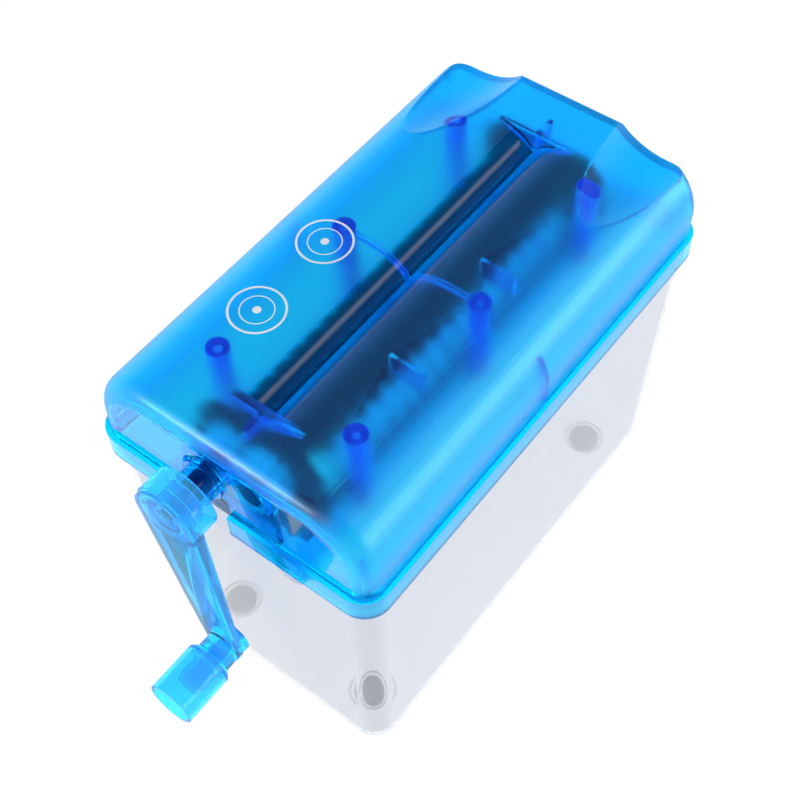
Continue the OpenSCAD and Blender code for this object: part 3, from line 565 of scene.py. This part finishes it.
print(sum(face[frost] > 0 for face in bm.faces), "faces frosted and",
      sum(face[milky] > 0 for face in bm.faces), "milky of", len(bm.faces))
piece_from(bm, "clear_cover", "head", ["top_cover"], blue_frosted, "top_cover")

# %% [markdown]
# Two round marks are printed in silver on the left of the slot. They stay plain: a ring with a
# thinner ring and a dot inside it. A print has almost no thickness. A pattern in the cover's
# finish could draw it, but would stay soft at its edges, so each mark is made of flat bands a few
# hundredths of a millimetre thick, spun round its middle and sunk into the skin.

# %% Printed marks
MARKS = ((-24.9, -9.1), (-24.0, -40.9))
BANDS = ((8.2, 8.9), (5.0, 5.35), (0.0, 1.3))  # inner and outer radii
SUNK, PROUD = -0.02, 0.005
bm = bmesh.new()
for x, y in MARKS:
    for inner, outer in BANDS:
        band = [(inner, SUNK), (outer, SUNK), (outer, PROUD), (inner, PROUD)]
        spun(band, at(x, y, 143), (0, 0, 1), 96, bm)
closed(bm)
piece_from(bm, "printed_marks", "head", [], mark_silver)

# %% [markdown]
# The bin is a thin tub whose walls lean out a little towards the rim. A box with its upright and
# bottom edges rounded gives the outside. Taking its lid off and giving the skin a wall inwards
# gives the tub, and the rim is eased. Four thin rings under its floor hold the foot pads. They
# are spun rings of their own, set a hair into the floor.

# %% Bin
RIM_HALF, BASE_HALF = (49.9, 85.4), (45.81, 82.17)
BIN_HEIGHT, BIN_WALL, BIN_CORNER, RIM_EASE = 112.8, 2.0, 8, 0.5
FEET = [(side * 29.5, end * 65.5) for side in (-1, 1) for end in (-1, 1)]
PAD_RING = [(6.5, -0.03), (6.5, -0.55), (6.65, -0.8), (7.15, -0.8), (7.3, -0.55), (7.3, -0.03)]


def lid_of(bm):
    """The highest face."""
    return max(bm.faces, key=lambda face: face.calc_center_median().z)


bm = bmesh.new()
bmesh.ops.create_cube(bm, size=1)
for vert in bm.verts:
    (half_w, half_l), z = (RIM_HALF, BIN_HEIGHT) if vert.co.z > 0 else (BASE_HALF, 0)
    vert.co = at(math.copysign(half_w, vert.co.x), math.copysign(half_l, vert.co.y), z)
lid = lid_of(bm)
rounded(bm, [edge for edge in bm.edges if edge not in lid.edges], BIN_CORNER, 10)
bmesh.ops.delete(bm, geom=[lid_of(bm)], context="FACES_ONLY")
bmesh.ops.recalc_face_normals(bm, faces=bm.faces)
bmesh.ops.solidify(bm, geom=bm.faces[:], thickness=BIN_WALL / 1000)
rim_z = at(0, 0, BIN_HEIGHT).z
rim = [edge for edge in bm.edges if all(abs(v.co.z - rim_z) < 1e-5 for v in edge.verts)
       and edge.is_manifold and edge.calc_face_angle() > math.radians(60)]
rounded(bm, rim, RIM_EASE, 3)
for x, y in FEET:
    spun(PAD_RING, at(x, y, 0), (0, 0, 1), 48, bm)
closed(bm)
print("bin from", round(min(v.co.z for v in bm.verts), 4), "to", round(rim_z, 4))
piece_from(bm, "clear_bin", "bin", ["bin"], bin_clear)

# %% [markdown]
# The foot pads are rubber discs in the bin's rings. A disc that is dished underneath grips like a
# real one, and a cylinder has no such edge, so each pad is spun from its half profile.

# %% Foot pads
PAD = [(0.0, -0.02), (5.5, -0.02), (5.5, -1.55), (5.35, -1.85), (5.0, -2.0), (3.6, -2.0),
       (3.3, -1.8), (0.0, -1.8)]
bm = bmesh.new()
for x, y in FEET:
    spun(PAD, at(x, y, 0), (0, 0, 1), 48, bm)
closed(bm, 1e-6)
piece_from(bm, "rubber_pads", "bin", ["foot_pads"], pad_rubber)

# %% [markdown]
# The knob is a hollow cup that turns on a pin, with a tube inside it for the pin and a chamfer
# where the hand meets it. It is round all the way, so one profile of cup and tube, spun round
# the pin's axis, makes it whole, and the mould's small roundings come last.

# %% Knob
KNOB_AT = (3.634, -107.6, 61.065)
KNOB = [(2.55, 0), (6.45, 0), (7.85, 1.4), (7.85, 18.5), (6.55, 18.5), (6.55, 2.0), (4.5, 2.0),
        (4.5, 9.0), (2.55, 9.0)]
bm = spun(KNOB, at(*KNOB_AT), (0, -1, 0), 96)
closed(bm)
soften(bm, 0.3, 30, 3)
piece_from(bm, "crank_knob_cup", "knob", ["crank_knob"], blue_crank)

# %% [markdown]
# The crank's arm is a tapered plate with a channel behind it, a hub at one end and the knob's seat
# at the other. The solid has every wall of it, and lacks only the fine rounding of a moulded
# edge, which catches the light. So the piece is a joined-up copy with its sharp edges rounded.

# %% Crank arm
bm = merged_copy("crank_arm")
soften(bm, 0.25, 50, 2)
piece_from(bm, "crank_arm_moulding", "drive", ["crank_arm"], blue_crank,
           "crank_arm")
